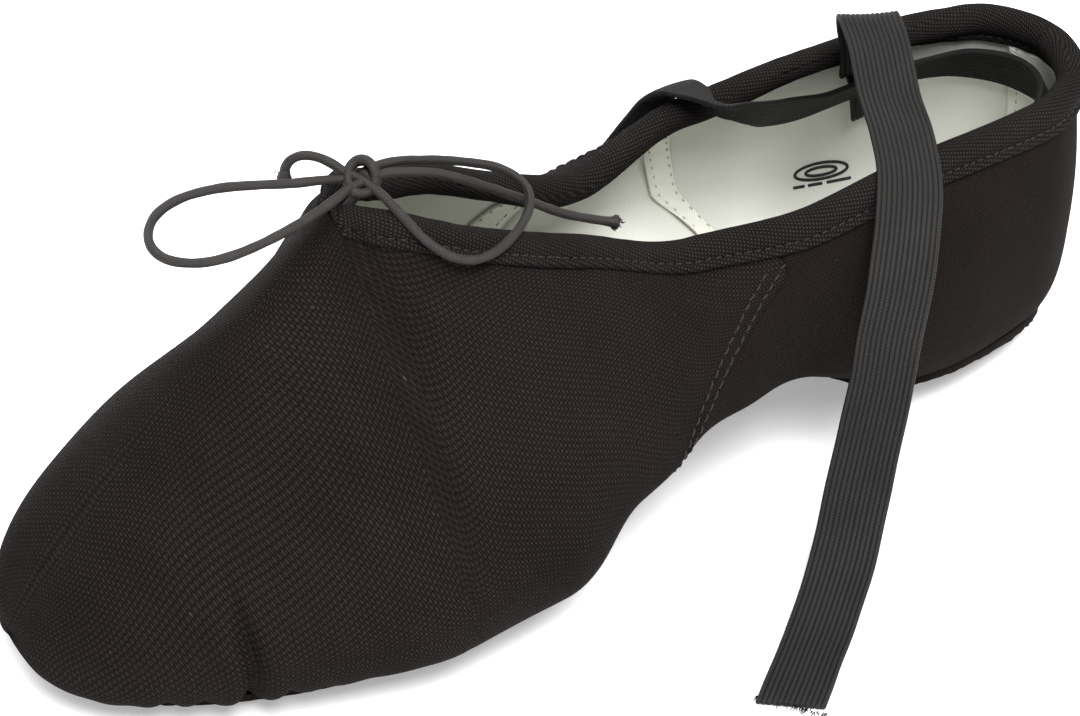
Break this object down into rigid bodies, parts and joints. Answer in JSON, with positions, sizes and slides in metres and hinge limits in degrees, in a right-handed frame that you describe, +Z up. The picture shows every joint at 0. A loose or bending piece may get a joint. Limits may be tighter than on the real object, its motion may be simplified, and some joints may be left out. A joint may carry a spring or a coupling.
{
  "type": "ballet slipper",
  "caption": "Black canvas split-sole ballet slipper with a cord drawstring bow, a suede patch under heel and forefoot, a white cotton lining and two loose elastic straps.",
  "frame": {"origin": "middle of the heel patch's flat underside, on the floor", "axes": "+X points from heel to toe, +Y to the wearer's left, +Z up"},
  "size_m": [0.2401, 0.1305, 0.0905],
  "materials": {
    "black_canvas": "plain-weave cotton canvas",
    "white_cotton": "off-white cotton drill",
    "insole_cotton": "off-white cotton, padded",
    "cream_tape": "cream cotton tape",
    "black_suede": "split suede, rough side out",
    "black_twill": "herringbone twill tape",
    "black_cord": "round braided elastic cord",
    "black_elastic": "ribbed woven elastic"
  },
  "bodies": {
    "forefoot": {"vamp_canvas": "black_canvas", "vamp_lining": "white_cotton", "forefoot_sole": "black_suede", "forefoot_insole": "insole_cotton", "casing_front_left": "black_twill", "casing_front_right": "black_twill", "side_seam_tape_left": "cream_tape", "side_seam_tape_right": "cream_tape", "drawstring_front_left": "black_cord", "drawstring_front_right": "black_cord", "bow_knot": "black_cord", "bow_left_loop": "black_cord", "bow_right_loop": "black_cord", "bow_left_tail": "black_cord", "bow_right_tail": "black_cord", "cord_tip_left": "black_cord", "cord_tip_right": "black_cord"},
    "heel": {"quarter_canvas_left": "black_canvas", "quarter_canvas_right": "black_canvas", "quarter_lining_left": "white_cotton", "quarter_lining_right": "white_cotton", "heel_lining_tape_left": "cream_tape", "heel_lining_tape_right": "cream_tape", "heel_sole": "black_suede", "heel_insole": "insole_cotton", "back_seam_tape": "cream_tape", "casing_rear": "black_twill", "drawstring_rear": "black_cord", "strap_front_sewn_end": "black_elastic", "strap_rear_sewn_run": "black_elastic"},
    "strap_front": {"strap_front_free": "black_elastic"},
    "strap_rear": {"strap_rear_free": "black_elastic"}
  },
  "joints": [
    {"name": "arch_flex", "type": "hinge", "parent": "forefoot", "child": "heel", "pos_m": [0.09, 0, 0.0125], "axis": [0, -1, 0], "range_deg": [0, 25]},
    {"name": "strap_front_swing", "type": "hinge", "parent": "heel", "child": "strap_front", "pos_m": [0.012, -0.0096, 0.0671], "axis": [0.7773, -0.6292, 0], "range_deg": [0, 150]},
    {"name": "strap_rear_swing", "type": "hinge", "parent": "heel", "child": "strap_rear", "pos_m": [0.05, -0.0132, 0.0599], "axis": [-1, 0, 0], "range_deg": [0, 120]}
  ]
}
